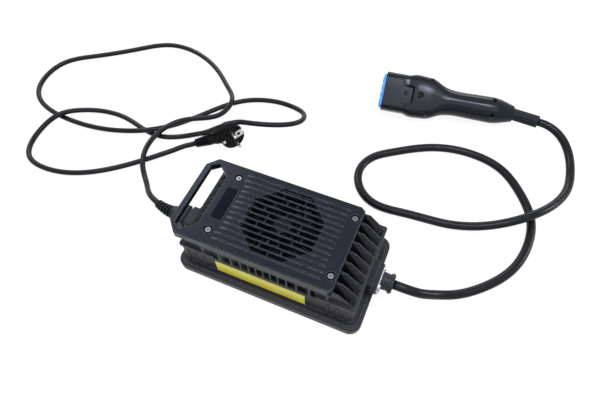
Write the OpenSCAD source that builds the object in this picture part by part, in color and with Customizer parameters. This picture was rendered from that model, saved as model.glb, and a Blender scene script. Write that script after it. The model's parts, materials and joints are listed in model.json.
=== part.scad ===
// Fan-cooled battery charger in a finned die-cast case, with a mains lead and plug
// on one end and an output lead with a hand-held connector on the other.
// Millimetres, +Z up, standing on its feet at z = 0, the case's middle on the Z axis.

/* [Case] */
// Length of the bottom pan over its flange
flange_l = 253; // [246:1:262]
// Width of the bottom pan over its flange
flange_w = 140.7; // [136:0.1:150]
// Corner radius of the flange
flange_r = 15; // [10:1:18]
// Height of the bottom pan
pan_h = 13.1; // [11:0.1:15]
// Thickness of the pan's floor
pan_floor = 3; // [2.5:0.1:4]
// Height of the rubber feet under the pan
foot_h = 2.5; // [2:0.1:5]
// Diameter of a rubber foot
foot_d = 14; // [10:0.5:16]
// Thickness of the gasket between pan and case
gasket_t = 0.8; // [0.5:0.1:1.5]
// Length of the case over its end walls
wall_l = 232; // [228:1:234]
// Width of the case over its long walls
wall_w = 120; // [118:0.5:122]
// Thickness of the cast walls
wall_t = 4.5; // [3.5:0.1:5]
// Height of the rim over the top of the gasket
rim_rise = 39.9; // [38:0.1:42]
// Overhang of the rim beyond the walls
rim_lip = 1.25; // [0.5:0.05:1.5]
// Clear height inside the case, under the deck
chamber_h = 27.6; // [27:0.1:29]
// Thickness of the deck that carries the fins
deck_t = 4; // [3:0.1:5]

/* [Cooling fins] */
// Number of radial fins around the fan
fin_count = 40; // [32:4:44]
// Thickness of a radial fin
fin_t = 1.8; // [1.2:0.1:2.4]
// Distance from the case's middle to the inner face of the end fins
end_fin_x = 86; // [85:0.5:88]
// Length of the flat top of an end fin
end_fin_flat = 8; // [6:0.5:9]
// Distance between end fins
end_pitch = 14.2; // [14:0.1:14.3]
// Thickness of an end fin at its top
end_fin_t = 2; // [1.6:0.1:2.6]
// Height of the end fins over the rim
end_fin_rise = 20.2; // [18:0.1:20.6]
// Height of the side openings between the fins
window_h = 19; // [17:0.5:19.5]
// Half length of the row of side openings
window_x = 68; // [64:1:72]

/* [Cover] */
// Length of the cover with its handle
cover_l = 218.4; // [216:0.1:220]
// Distance from the case's middle to the cover's plain end
cover_end = 87.1; // [86.5:0.1:90]
// Width of the cover
cover_w = 120; // [118:0.5:122]
// Height of the cover's skirt, plate included
cover_h = 12; // [11:0.1:13]
// Thickness of the cover's plate
plate_t = 3; // [2.4:0.1:3.4]
// Thickness of the cover's skirt
skirt_t = 2.5; // [2:0.1:2.6]
// Distance between ribs
rib_pitch = 8.2; // [8:0.05:8.4]
// Width of a rib
rib_w = 2; // [1.6:0.1:2.4]
// Height of a rib over the plate
rib_h = 1.6; // [1:0.1:2.2]
// Width of the octagonal grille across its flats
grille_af = 96.8; // [92:0.2:98]
// Width of the handle bar
handle_w = 7.3; // [6:0.1:8]
// Half length of the finger slot behind the handle bar
slot_y = 45; // [42:0.5:46]

/* [Fan] */
// Width of the square fan frame
fan_w = 92; // [90:0.5:92]
// Thickness of the fan
fan_t = 15; // [14.6:0.1:15.2]
// Distance between the fan's screws
fan_hole_pitch = 82.5; // [81:0.5:83]
// Diameter of the fan's air bore
fan_bore = 87; // [84:0.5:88]
// Diameter of the impeller's hub
hub_d = 30; // [26:0.5:34]
// Diameter of the impeller's shaft
shaft_d = 3; // [2:0.1:4]
// Number of blades
blade_count = 7; // [5:1:9]

/* [Mains side] */
// Distance of the mains inlet from the case's middle line
inlet_y = -14; // [-20:0.5:-8]
// Width of the inlet's housing
inlet_w = 30; // [29:0.5:34]
// Height of the inlet's housing
inlet_h = 24; // [23:0.5:26]
// Diameter of the mains lead
mains_d = 8; // [7:0.1:8]
// Diameter of the plug's face
plug_d = 38; // [36:0.5:40]
// Depth of the plug behind its face
plug_depth = 24; // [21:0.5:25]
// Diameter of a plug pin
pin_d = 4.8; // [4:0.1:4.8]
// Length of a plug pin
pin_l = 19; // [17:0.5:19]
// Distance between the plug's pins
pin_pitch = 19; // [18:0.5:19]

/* [Output side] */
// Height of the lead entries over the pan's top
entry_rise = 18.4; // [17:0.1:19]
// Width of the outlet block
outlet_w = 34; // [32:0.5:38]
// Height of the outlet block
outlet_h = 22.6; // [22:0.2:24]
// Thickness of the outlet's steel plate
outlet_plate_t = 1.3; // [1:0.1:1.4]
// Diameter of the gland's barrel
gland_d = 21; // [19:0.5:22]
// Diameter of the output lead
output_d = 12; // [10:0.5:12]
// Width of the connector's housing
connector_w = 60; // [56:0.5:62]
// Thickness of the connector's housing
connector_t = 29; // [27:0.5:30]
// Diameter of the connector's grip
grip_d = 40; // [36:0.5:41]
// Length of the connector's handle
handle_l = 165; // [160:1:170]

/* [Fasteners] */
// Diameter of the case screws
screw_d = 4; // [3:0.1:4.2]
// Diameter of the small screws
small_screw_d = 3; // [2.5:0.1:3]

/* [Hidden] */
$fn = 48;

// Colours
black = [0.07, 0.07, 0.08];
soft_black = [0.11, 0.11, 0.12];
slate = [0.20, 0.22, 0.26];
steel = [0.75, 0.76, 0.78];
brass = [0.80, 0.65, 0.30];
copper = [0.72, 0.42, 0.22];
board_green = [0.10, 0.35, 0.18];
label_yellow = [0.93, 0.80, 0.20];
blue = [0.10, 0.50, 0.90];

// Levels over the floor
pan_top = foot_h + pan_h;
pan_inside = foot_h + pan_floor;
case_z = pan_top + gasket_t;
deck_z = case_z + chamber_h;
deck_top = deck_z + deck_t;
rim_z = case_z + rim_rise;
rail_t = 3.5;
window_z = deck_top + 2;
rail_top = window_z + window_h + rail_t;
cover_top = rail_top + cover_h;
plate_z = cover_top - plate_t;
fit = 0.3;
fan_gap = 0.3;
grille_z = plate_z - 1;
fan_top = grille_z - fan_gap;
fan_z = fan_top - fan_t;
end_fin_top = rim_z + end_fin_rise;

// Case
case_r = 4;
inner_l = wall_l - 2 * wall_t;
inner_w = wall_w - 2 * wall_t;
rim_t = 3.3;
rim_l = wall_l + 2 * rim_lip;
rim_w = wall_w + 2 * rim_lip;
rim_r = 3;
rim_x = wall_l / 2 - 2;
plinth_l = wall_l + 5;
plinth_w = wall_w + 2.5;
plinth_h = 2.6;
basin_y = wall_w / 2 - 3;
skirt_in_y = cover_w / 2 - skirt_t;
end_block_w = 2 * (skirt_in_y - fit);
post_d = 11;
post_x = inner_l / 2 - 8;
post_y = inner_w / 2 - 7;
pan_screw_l = 20;
pan_head_d = 7.4;
pan_head_h = 3.5;
pan_head_z = foot_h + 5;
foot_x = flange_l / 2 - 14.5;
foot_y = flange_w / 2 - 11.4;
entry_z = pan_top + entry_rise;
lead_hole_d = 15;
fan_lead_at = [53, 32.5];

// Cover screws, on the corners of the plate
cover_screw_x = [-80.6, 78.7];
cover_screw_y = 41.1;
counterbore_d = 11.5;
head_d = 7;
head_h = 4;
head_top_gap = 0.6;
small_head_d = 5.5;
small_head_h = 2.2;
fan_seat = 4;
fan_screw_l = 14;
cover_boss_h = 3.5;
cover_boss_z = plate_z - cover_boss_h;
head_z = cover_top - head_top_gap - head_h;
cover_screw_l = 20;
sink_boss_d = 10;

// Inlay and board
inlay_x = -79.7;
inlay_l = 15.5;
inlay_w = 48;
inlay_sink = 0.6;
board_t = 1.6;
board_gap = 4;
board_z = pan_inside + board_gap;
board_top = board_z + board_t;
board_l = wall_l - 44;
board_w = wall_w - 16;
room_h = deck_z - board_top;
core_at = [-8, 10];
core_l = 50;
core_w = 18;
core_leg = 14;
core_h = room_h - 2;
coil_d = 35;

// Outline of the cover: small chamfers at the plain end, large ones at the handle
cover_x1 = cover_end;
cover_x0 = cover_end - cover_l;
slot_x0 = cover_x0 + handle_w;
slot_x1 = cover_x0 + 34.8;
slot_corner_x = cover_x0 + 17.3;
pocket_x0 = slot_x1 + skirt_t;

function cover_outline(d) = let (h = cover_w / 2, s = [
    [cover_x1 - d, h - 4.5],
    [cover_x1 - 6, h - d],
    [cover_x0 + 12.8, h - d],
    [cover_x0 + d, h - 14]])
    concat(s, [for (i = [3:-1:0]) [s[i][0], -s[i][1]]]);
function slot_outline(d) = let (s = [
    [slot_x1 + d, slot_y - 7.5],
    [slot_corner_x, slot_y + 8 + d],
    [slot_x0 - d, slot_y + 1.5 + d / 2]])
    concat(s, [for (i = [2:-1:0]) [s[i][0], -s[i][1]]]);
function slot_relief() = let (s = [
    [slot_x1, slot_y - 4.5],
    [slot_corner_x, slot_y + 11],
    [slot_x0 - 3, slot_y]])
    concat(s, [for (i = [2:-1:0]) [s[i][0], -s[i][1]]]);

// Directions and frames of the pieces that lie apart from the case
inlet_x = -wall_l / 2;
coupler_x = cover_x0;
relief_bend_r = 85;
relief_bend = 20;
relief_start = [coupler_x - 27, inlet_y, entry_z];
relief_end = relief_start
    + [-relief_bend_r * sin(relief_bend), relief_bend_r * (1 - cos(relief_bend)), 0];
relief_dir = [-cos(relief_bend), sin(relief_bend), 0];
plug_at = [-151.5, 143, 24];
plug_turn = [9, -15, -34];
plug_lead_turn = 30;
plug_neck_at = [-10, 0, 0];
plug_neck_l = 33;
plug_relief_l = 26;
outlet_x = wall_l / 2;
plate_x = -cover_x0 - outlet_plate_t;
gland_end_x = 147;
connector_at = [27.2, 315.3, 30.1];
connector_turn = [35, 2.8, 10.4];
face_u = 5;
seam_u = 42;
handle_end_u = seam_u + handle_l;
boot_l = 39.5;
boot_turn = -3;

function turn_x(a, v) = [v[0], v[1] * cos(a) - v[2] * sin(a), v[1] * sin(a) + v[2] * cos(a)];
function turn_y(a, v) = [v[0] * cos(a) + v[2] * sin(a), v[1], -v[0] * sin(a) + v[2] * cos(a)];
function turn_z(a, v) = [v[0] * cos(a) - v[1] * sin(a), v[0] * sin(a) + v[1] * cos(a), v[2]];
function turn(t, v) = turn_z(t[2], turn_y(t[1], turn_x(t[0], v)));
plug_lead_dir = turn(plug_turn, [-sin(plug_lead_turn), -cos(plug_lead_turn), 0]);
plug_lead_end = plug_at + turn(plug_turn, plug_neck_at) + (plug_neck_l + plug_relief_l) * plug_lead_dir;
boot_at = connector_at + turn(connector_turn, [handle_end_u, 0, 0]);
boot_dir = turn_z(boot_turn, [1, 0, 0]);
boot_end = boot_at + boot_l * boot_dir;

// Hand-held connector: sizes along its own X axis, u, and the handle's half widths and squareness
boot_d = 18.4;
block_depth = 30;
recess_depth = 2.5;
nose_wall = 5;
housing_screw_u = 38.8;
housing_screw_z = 9.5;
function grip_station(u, half_v, half_w, power) = [u, half_v, half_w, power];
handle_stations = [
    grip_station(seam_u, connector_w / 2 + 0.5, connector_t / 2, 0.5),
    grip_station(seam_u + 9, connector_w / 2 + 3, connector_t / 2 + 1.5, 0.55),
    grip_station(seam_u + 38, connector_w / 2 + 1.5, connector_t / 2 + 3, 0.65),
    grip_station(seam_u + 46, connector_w / 2 - 2.5, connector_t / 2 + 4, 0.75),
    grip_station(seam_u + 55, grip_d / 2 + 3, grip_d / 2 - 0.5, 0.9),
    grip_station(seam_u + 68, grip_d / 2 - 0.5, grip_d / 2, 1),
    grip_station(seam_u + 100, grip_d / 2 - 0.5, grip_d / 2 - 0.5, 1),
    grip_station(seam_u + 136, grip_d / 2, grip_d / 2, 1),
    grip_station(handle_end_u - 18, grip_d / 2 - 2, grip_d / 2 - 2, 1),
    grip_station(handle_end_u - 6, grip_d / 2 - 6, grip_d / 2 - 6, 1),
    grip_station(handle_end_u, grip_d / 2 - 7.5, grip_d / 2 - 7.5, 1)];
handle_screws = [[61.6, 0, 11.5], [76, 25.5, 6], [76, -25.5, 6], [174, 11.5, 6], [174, -11.5, 6]];
screw_seat = 10;

// Routes of the leads, chosen by hand along the floor, crossings in low humps
lead_stub = 8;
mains_route = concat(
    [relief_end, relief_end + lead_stub * relief_dir],
    [[-234.5, 24.5, 12.5], [-254.5, 45.5, 12.5], [-271, 83, 14], [-246, 153.5, 12.5],
    [-197.5, 186.5, 13], [-194.75, 218.5, 12.5], [-220.5, 251, 5.75], [-255.5, 281, 4],
    [-376, 306.5, 4], [-417, 279, 4], [-482, 232, 4], [-523, 196.5, 4], [-521, 125, 4],
    [-436.25, 89.25, 4], [-319.5, 102, 9], [-288, 113.75, 12.5], [-281, 119, 11.75],
    [-267.5, 135.5, 6.5], [-237, 171.5, 4], [-158.5, 245, 4], [-72, 234, 12.5], [-69, 211.5, 23],
    [-138, 162, 42.5], [-143, 158, 45.5], [-162, 142, 46.5], [-198.5, 135.5, 21], [-211, 136, 12.5],
    [-264, 116, 4], [-283.25, 114.5, 4], [-344, 127, 4], [-425.5, 106.5, 9], [-439.5, 91, 12.5],
    [-455.5, 58, 7], [-440.5, 4, 4], [-398.5, -7, 4.5], [-235.5, 98, 4]],
    [plug_lead_end + lead_stub * plug_lead_dir, plug_lead_end]);
output_route = concat(
    [[gland_end_x, 0, entry_z], [gland_end_x + lead_stub, 0, entry_z]],
    [[180, 4.5, 27], [197.5, 14.5, 16.5], [223, 29.5, 7.5], [252, 52.5, 6], [284, 95.5, 6],
    [295.5, 143, 6], [292.5, 177, 6], [268.5, 220.5, 6], [238.5, 249.5, 6], [190, 262.5, 6],
    [139, 254.5, 6], [78, 219.5, 6], [56, 201, 6], [45, 175, 6], [57, 138.5, 6], [80.5, 122.5, 6],
    [129.5, 122.5, 6], [192.5, 128.5, 6.5], [232, 139.5, 11], [270, 160, 17.5], [298, 185, 18.5],
    [320, 217.5, 12.5], [331.5, 251, 7.5], [332, 278.5, 7], [327.5, 301.5, 9.5], [303, 340.5, 17]],
    [boot_end + lead_stub * boot_dir, boot_end]);

// Helpers
module rounded_rect(l, w, r) {
    square([l - 2 * r, w], center = true);
    square([l, w - 2 * r], center = true);
    for (sx = [-1, 1], sy = [-1, 1])
        translate([sx * (l / 2 - r), sy * (w / 2 - r)]) circle(r);
}
module plate(l, w, r, z0, z1) {
    translate([0, 0, z0]) linear_extrude(z1 - z0) rounded_rect(l, w, r);
}
module span(x, y, z) {
    translate([x[0], y[0], z[0]]) cube([x[1] - x[0], y[1] - y[0], z[1] - z[0]]);
}
module post(z0, z1, d) {
    translate([0, 0, z0]) cylinder(h = z1 - z0, d = d);
}
module along_x(x0, x1, r) {
    translate([x0, 0, 0]) rotate([0, 90, 0]) cylinder(h = x1 - x0, r = r);
}
module prism_xz(points, w) {
    rotate([90, 0, 0]) translate([0, 0, -w / 2]) linear_extrude(w) polygon(points);
}
module block_x(l, w, r, x0, x1) {
    translate([x0, 0, 0]) rotate([90, 0, 90]) linear_extrude(x1 - x0) rounded_rect(l, w, r);
}

function band(middle, width) = [middle - width / 2, middle + width / 2];
function unit(v) = v / norm(v);
function tangent(p, i) = unit(p[min(i + 1, len(p) - 1)] - p[max(i - 1, 0)]);
function ring(c, t, r, n) = let (s = unit(cross([0, 0, 1], t)), u = cross(t, s))
    [for (k = [0:n - 1]) c + r * (cos(360 * k / n) * s + sin(360 * k / n) * u)];
function skin_faces(rings, n) = concat(
    [[for (k = [0:n - 1]) k]],
    [for (i = [0:rings - 2], k = [0:n - 1])
        let (a = i * n + k, b = i * n + (k + 1) % n) [a, b + n, b]],
    [for (i = [0:rings - 2], k = [0:n - 1])
        let (a = i * n + k, b = i * n + (k + 1) % n) [a, a + n, b + n]],
    [[for (k = [n - 1:-1:0]) (rings - 1) * n + k]]);

// A lead along a route, its ends square to its first and last stretch
module lead(route, d, sides) {
    polyhedron(
        points = [for (i = [0:len(route) - 1]) each ring(route[i], tangent(route, i), d / 2, sides)],
        faces = skin_faces(len(route), sides),
        convexity = 12);
}

// One ring of the handle: a rounded section, squarer towards the housing
function section(s, shrink, n) = [for (k = [0:n - 1])
    let (a = 360 * k / n, c = cos(a), q = sin(a), e = s[3])
    [s[0],
    (s[1] - shrink) * sign(c) * pow(abs(c), e),
    (s[2] - shrink) * sign(q) * pow(abs(q), e)]];
module loft(stations, shrink, n) {
    polyhedron(
        points = [for (s = stations) each section(s, shrink, n)],
        faces = skin_faces(len(stations), n),
        convexity = 6);
}

// Feet, pan and gasket
module rubber_feet() {
    color(soft_black)
        for (sx = [-1, 1], sy = [-1, 1])
            translate([sx * foot_x, sy * foot_y, 0]) difference() {
                cylinder(h = foot_h, d = foot_d);
                translate([0, 0, -1]) cylinder(h = 1.8, d = foot_d / 2);
            }
}
module post_places() {
    for (sx = [-1, 1], sy = [-1, 1])
        translate([sx * post_x, sy * post_y, 0]) children();
    for (sy = [-1, 1])
        translate([0, sy * post_y, 0]) children();
}
module base_pan() {
    step_in = 4.5;
    color(black) difference() {
        union() {
            hull() {
                plate(flange_l - 2.4, flange_w - 2.4, flange_r - 1.2, foot_h, foot_h + 0.1);
                plate(flange_l, flange_w, flange_r, foot_h + 1.4, pan_top - 2.2);
                plate(flange_l - 3.2, flange_w - 3.2, flange_r - 1.6, pan_top - 0.6, pan_top - 0.5);
                plate(flange_l - 5.6, flange_w - 5.6, flange_r - 2.8, pan_top - 0.1, pan_top);
            }
            difference() {
                plate(flange_l - 2 * step_in, flange_w - 2 * step_in, flange_r - 3,
                    pan_top - 0.2, pan_top + 0.8);
                plate(plinth_l + 1, plinth_w + 1, case_r + 2.5, pan_top - 1, pan_top + 2);
            }
        }
        difference() {
            plate(inner_l, inner_w, case_r, pan_inside, pan_top + 3);
            post_places() post(pan_inside - 1, case_z, post_d);
            board_posts();
        }
        post_places() {
            post(foot_h - 1, pan_head_z, pan_head_d + 0.6);
            post(foot_h, pan_top + 4, screw_d + 0.5);
        }
        board_screw_places() post(board_z - board_gap, board_z + 2, small_screw_d);
    }
}
module base_screws() {
    color(steel) post_places() translate([0, 0, pan_head_z - pan_head_h]) difference() {
        union() {
            cylinder(h = pan_head_h, d = pan_head_d);
            cylinder(h = pan_head_h + pan_screw_l, d = screw_d);
        }
        translate([0, 0, -1]) cylinder(h = 3, d = 3.4, $fn = 6);
    }
}
module gasket() {
    color(soft_black) difference() {
        plate(wall_l, wall_w, case_r, pan_top, case_z);
        plate(inner_l, inner_w, case_r, pan_top - 1, case_z + 1);
    }
}

// Case: one casting with its deck, fins, posts and ribs
module bay_void(x0, x1) {
    top = end_pitch / 2 - end_fin_t / 2;
    root = top - 2.4;
    z_top = end_fin_top + 4;
    z_floor = deck_top + 0.3;
    z_apex = rim_z - 4.3;
    x_apex = x1 - 7;
    polyhedron(
        points = [[x0, top, z_top], [x0, -top, z_top], [x0, root, z_floor], [x0, -root, z_floor],
            [x_apex, 0, z_apex], [x1, top, rim_z], [x1, -top, rim_z], [x1, top, z_top], [x1, -top, z_top]],
        faces = [[0, 7, 8, 1], [0, 1, 3, 2], [2, 3, 4], [4, 6, 5], [5, 6, 8, 7],
            [0, 2, 4], [0, 4, 5], [0, 5, 7], [1, 4, 3], [1, 6, 4], [1, 8, 6]],
        convexity = 4);
}
module end_block() {
    prism_xz([[end_fin_x, deck_z], [end_fin_x, end_fin_top], [end_fin_x + end_fin_flat, end_fin_top],
        [rim_x, rim_z], [rim_x, deck_z]], end_block_w);
}
// Set-back wall between the side openings and an end block, round at the openings
module end_wall() {
    wall_r = 4;
    wall_y = end_block_w / 2;
    span([window_x, end_fin_x + 0.5], [wall_y - wall_r, wall_y], [deck_top - 1, rail_top]);
    translate([window_x, wall_y - wall_r, 0]) post(deck_top - 1, rail_top, 2 * wall_r);
}
module radial_fins() {
    intersection() {
        span((end_fin_x + 1) * [-1, 1], wall_w / 2 * [-1, 1], [deck_top - 1, window_z + window_h + 1]);
        for (i = [0:fin_count - 1])
            rotate(360 * i / fin_count)
                translate([26, -fin_t / 2, deck_top - 1]) cube([90, fin_t, window_h + 4]);
    }
}
module side_ribs() {
    rib_r = 2.4;
    for (sx = [-1, 1], sy = [-1, 1], i = [0:2])
        translate([sx * (83.5 + 12 * i), sy * (wall_w / 2 - 0.8), case_z + plinth_h - 1]) {
            cylinder(h = 28 - 2 * i, r = rib_r);
            translate([0, 0, 28 - 2 * i]) sphere(rib_r);
        }
}
module fan_screw_places() {
    for (sx = [-1, 1], sy = [-1, 1])
        translate([sx * fan_hole_pitch / 2, sy * fan_hole_pitch / 2, 0]) children();
}
module cover_screw_places() {
    for (x = cover_screw_x, sy = [-1, 1])
        translate([x, sy * cover_screw_y, 0]) children();
}
module heat_sink() {
    color(black) difference() {
        union() {
            difference() {
                union() {
                    plate(wall_l, wall_w, case_r, case_z, rim_z);
                    plate(plinth_l, plinth_w, case_r + 2, case_z, case_z + plinth_h);
                    difference() {
                        plate(rim_l, rim_w, rim_r, rim_z - rim_t, rim_z);
                        span([-window_x, window_x], [-wall_w, wall_w], [rim_z - rim_t - 1, rim_z + 1]);
                    }
                    for (sx = [0, 1]) mirror([sx, 0, 0]) end_block();
                }
                plate(inner_l, inner_w, case_r, case_z - 1, deck_z);
                span([-end_fin_x, end_fin_x], [-basin_y, basin_y], [deck_top, rim_z + 1]);
                for (sx = [0, 1]) mirror([sx, 0, 0])
                    for (i = [-4:3])
                        translate([0, (i + 0.5) * end_pitch, 0]) bay_void(end_fin_x - 1, rim_x);
                for (sy = [0, 1]) mirror([0, sy, 0])
                    span([-window_x, window_x], [basin_y - 1, wall_w], [window_z, rim_z + 1]);
            }
            difference() {
                radial_fins();
                span((fan_w / 2 + fit) * [-1, 1], (fan_w / 2 + fit) * [-1, 1],
                    [fan_z - fan_gap, cover_top]);
                fan_screw_places() post(fan_z - fan_gap, cover_top, small_head_d + 2 * fit);
            }
            for (sy = [0, 1]) mirror([0, sy, 0]) {
                span([-end_fin_x, end_fin_x], [basin_y - 1, wall_w / 2], [rail_top - rail_t, rail_top]);
                for (sx = [0, 1]) mirror([sx, 0, 0]) end_wall();
            }
            cover_screw_places() post(deck_z, cover_boss_z, sink_boss_d);
            fan_screw_places() post(deck_z, fan_z, 8);
            post_places() post(case_z, deck_z + 1, post_d);
            side_ribs();
        }
        cover_screw_places() post(head_z - cover_screw_l, head_z, screw_d);
        fan_screw_places() post(fan_z + fan_seat - fan_screw_l - 1, fan_z + 1, small_screw_d);
        post_places() post(case_z - 1, pan_head_z + pan_screw_l + 0.5, screw_d);
        translate([0, 0, entry_z]) along_x(wall_l / 2 - 2 * wall_t, wall_l / 2 + 9, lead_hole_d / 2);
        plate_screw_places() along_x(wall_l / 2 - wall_t - 1, wall_l / 2 + 1, small_screw_d / 2);
        translate([0, inlet_y, entry_z])
            block_x(inlet_w - 5, inlet_h - 7, 2, inlet_x - 5, inlet_x + wall_t + 5);
        translate([fan_lead_at[0], fan_lead_at[1], 0]) post(deck_z - 1, deck_top + 1, 6);
    }
}

// Fan: square frame with its motor seat, and the impeller on its shaft
module fan_frame() {
    strut_t = 2;
    tube_top = fan_z + fan_t - 5;
    color(soft_black) difference() {
        union() {
            difference() {
                plate(fan_w, fan_w, 5, fan_z, fan_top);
                translate([0, 0, fan_z - 1]) cylinder(h = fan_t + 2, d = fan_bore);
                fan_screw_places() post(fan_z + fan_seat, fan_z + fan_t + 1, small_head_d + 3.5);
            }
            for (i = [0:3])
                rotate(20 + 90 * i)
                    span([hub_d / 2 - 2, fan_bore / 2 + 1], [-2, 2], [fan_z, fan_z + strut_t]);
            translate([0, 0, fan_z]) cylinder(h = strut_t, d = hub_d);
            translate([0, 0, fan_z]) cylinder(h = tube_top - fan_z, d = shaft_d + 4);
        }
        translate([0, 0, fan_z + 0.8]) cylinder(h = fan_t, d = shaft_d + 0.1);
        fan_screw_places() translate([0, 0, fan_z - 1]) cylinder(h = fan_t, d = small_screw_d + 0.4);
    }
}
module fan_impeller() {
    hub_z = fan_z + 2.6;
    hub_top = fan_top - 0.6;
    tip_r = fan_bore / 2 - 1;
    color(soft_black) {
        difference() {
            translate([0, 0, hub_z]) cylinder(h = hub_top - hub_z, d = hub_d);
            translate([0, 0, hub_z - 1]) cylinder(h = hub_top - hub_z - 0.8, d = hub_d - 3);
        }
        translate([0, 0, fan_z + 1.2]) cylinder(h = hub_top - fan_z - 2, d = shaft_d);
        intersection() {
            difference() {
                translate([0, 0, hub_z]) cylinder(h = hub_top - hub_z, r = tip_r);
                translate([0, 0, hub_z - 1]) cylinder(h = fan_t, d = hub_d - 1);
            }
            for (i = [0:blade_count - 1])
                rotate(360 * i / blade_count) translate([tip_r / 2, 0, (hub_z + hub_top) / 2])
                    rotate([38, 0, 0]) cube([tip_r + 4, 24, 1.4], center = true);
        }
    }
}
module fan_screws() {
    color(steel) fan_screw_places() translate([0, 0, fan_z + fan_seat]) {
        post(0, small_head_h, small_head_d);
        post(-fan_screw_l, 1, small_screw_d);
    }
}

// Cover: plate, skirt, handle, ribs and octagonal grille in one moulding
module octagon(z0, z1, af0, af1) {
    translate([0, 0, z0]) rotate(22.5)
        cylinder(h = z1 - z0, r1 = af0 / 2 / cos(22.5), r2 = af1 / 2 / cos(22.5), $fn = 8);
}
module cover_rib(i) {
    x0 = abs(i) <= 4 ? -68 : -71.5;
    x1 = 69.5;
    translate([0, i * rib_pitch, 0])
        prism_xz([[x0, plate_z + 1], [x0, cover_top], [x0 + 8, cover_top + rib_h],
            [x1 - 3, cover_top + rib_h], [x1, cover_top], [x1, plate_z + 1]], rib_w);
}
module grille_bars() {
    bar_w = 1.5;
    hub_r = 10.5;
    low_top = grille_z + 2;
    places = [[-22, 22], [-30, 0, 30], [-20.5, 20.5], [-7, 7], [-14.4, 14.4], [0]];
    intersection() {
        octagon(grille_z - 1, cover_top + rib_h + 1, grille_af + 1, grille_af + 1);
        union() {
            for (i = [-6:6])
                span([-grille_af / 2 - 1, grille_af / 2 + 1], band(i * rib_pitch, rib_w),
                    [grille_z, cover_top + rib_h / 2]);
            for (row = [0:5], sy = [-1, 1], x = places[row])
                translate([x, sy * (row + 0.5) * rib_pitch, 0])
                    span([-bar_w / 2, bar_w / 2], rib_pitch / 2 * [-1, 1], [grille_z, low_top]);
            translate([0, 0, grille_z]) cylinder(h = low_top - grille_z, r = hub_r);
        }
    }
}
module top_cover() {
    bevel = 0.9;
    duct_t = 2.2;
    color(slate) difference() {
        union() {
            difference() {
                hull() {
                    translate([0, 0, rail_top]) linear_extrude(cover_h - bevel) polygon(cover_outline(0));
                    translate([0, 0, cover_top - 0.1]) linear_extrude(0.1) polygon(cover_outline(bevel));
                }
                translate([0, 0, rail_top - 1]) linear_extrude(cover_h - plate_t + 1)
                    polygon([[cover_x1 - skirt_t, skirt_in_y - 3], [cover_x1 - skirt_t - 4, skirt_in_y],
                        [pocket_x0, skirt_in_y], [pocket_x0, -skirt_in_y],
                        [cover_x1 - skirt_t - 4, -skirt_in_y], [cover_x1 - skirt_t, 3 - skirt_in_y]]);
                octagon(plate_z - 1, cover_top + 0.01, grille_af - 5, grille_af);
                translate([0, 0, rail_top - 1]) linear_extrude(cover_h + 2) polygon(slot_outline(0));
                translate([0, 0, rail_top - 1]) linear_extrude(4.5) polygon(slot_relief());
                hull() {
                    translate([0, 0, cover_top - bevel]) linear_extrude(0.1) polygon(slot_outline(0));
                    translate([0, 0, cover_top]) linear_extrude(0.1) polygon(slot_outline(bevel));
                }
                span([end_fin_x - 4, cover_x1 + 1], skirt_in_y * [-1, 1], [rail_top - 1, end_fin_top + 1]);
                span([-end_fin_x - end_fin_flat - 12, pocket_x0 + 1], skirt_in_y * [-1, 1],
                    [rail_top - 1, end_fin_top + 1]);
            }
            for (i = [-6:6]) cover_rib(i);
            grille_bars();
            for (a = [0:90:270])
                rotate(a) span([-19, 19], band((fan_w + duct_t) / 2 + fit, duct_t), [rail_top, plate_z + 0.5]);
            cover_screw_places() post(cover_boss_z, plate_z + 1, 15);
        }
        cover_screw_places() {
            translate([0, 0, head_z]) cylinder(h = cover_h, d = counterbore_d);
            translate([0, 0, rail_top]) cylinder(h = cover_h, d = screw_d + 0.5);
        }
        translate([inlay_x, 0, 0])
            plate(inlay_l + 0.2, inlay_w + 0.2, 3, cover_top - inlay_sink, cover_top + 1);
    }
}
module inlay_panel() {
    color(soft_black) translate([inlay_x, 0, 0])
        plate(inlay_l, inlay_w, 2.9, cover_top - inlay_sink, cover_top + 0.3);
}
module cover_screws() {
    color(steel) cover_screw_places() translate([0, 0, head_z]) difference() {
        union() {
            cylinder(h = head_h, d = head_d);
            translate([0, 0, -cover_screw_l]) cylinder(h = cover_screw_l + 1, d = screw_d);
        }
        translate([0, 0, head_h - 2.2]) cylinder(h = 3, d = 3.4, $fn = 6);
    }
}
module side_label() {
    label_h = rim_rise * 0.62;
    label_t = 0.4;
    color(label_yellow) translate([0, -wall_w / 2, case_z + plinth_h])
        span([-window_x, window_x - 14], [-label_t, 0], [0, label_h]);
}

// Electronics on the board inside the case
module board_screw_places() {
    for (sx = [-1, 0, 1], sy = [-1, 1])
        translate([sx * (board_l / 2 - 10), sy * (board_w / 2 - 18), 0]) children();
}
module board_posts() {
    board_screw_places() post(pan_inside - 1, board_z, 7);
}
module circuit_board() {
    color(board_green) difference() {
        span(board_l / 2 * [-1, 1], board_w / 2 * [-1, 1], [board_z, board_top]);
        post_places() post(board_z - 1, board_top + 1, post_d + 2);
        board_screw_places() post(board_z - 1, board_top + 1, small_screw_d + 0.2);
    }
}
module board_screws() {
    color(steel) board_screw_places() {
        post(board_top, board_top + small_head_h, small_head_d);
        post(board_z - board_gap + 0.5, board_top + 1, small_screw_d);
    }
}
module transformer_core() {
    yoke = 5;
    color([0.25, 0.25, 0.27]) translate([core_at[0], core_at[1], board_top]) difference() {
        span(core_l / 2 * [-1, 1], core_w / 2 * [-1, 1], [0, core_h]);
        for (sx = [0, 1]) mirror([sx, 0, 0])
            span([core_leg / 2, coil_d / 2 + 0.4], core_w * [-1, 1], [yoke, core_h - yoke]);
    }
}
module transformer_winding() {
    color(copper) translate([core_at[0], core_at[1], board_top + 5.2]) difference() {
        cylinder(h = core_h - 10.4, d = coil_d);
        span((core_leg / 2 + 0.2) * [-1, 1], (core_w / 2 + 0.2) * [-1, 1], [-1, core_h]);
    }
}
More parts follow.
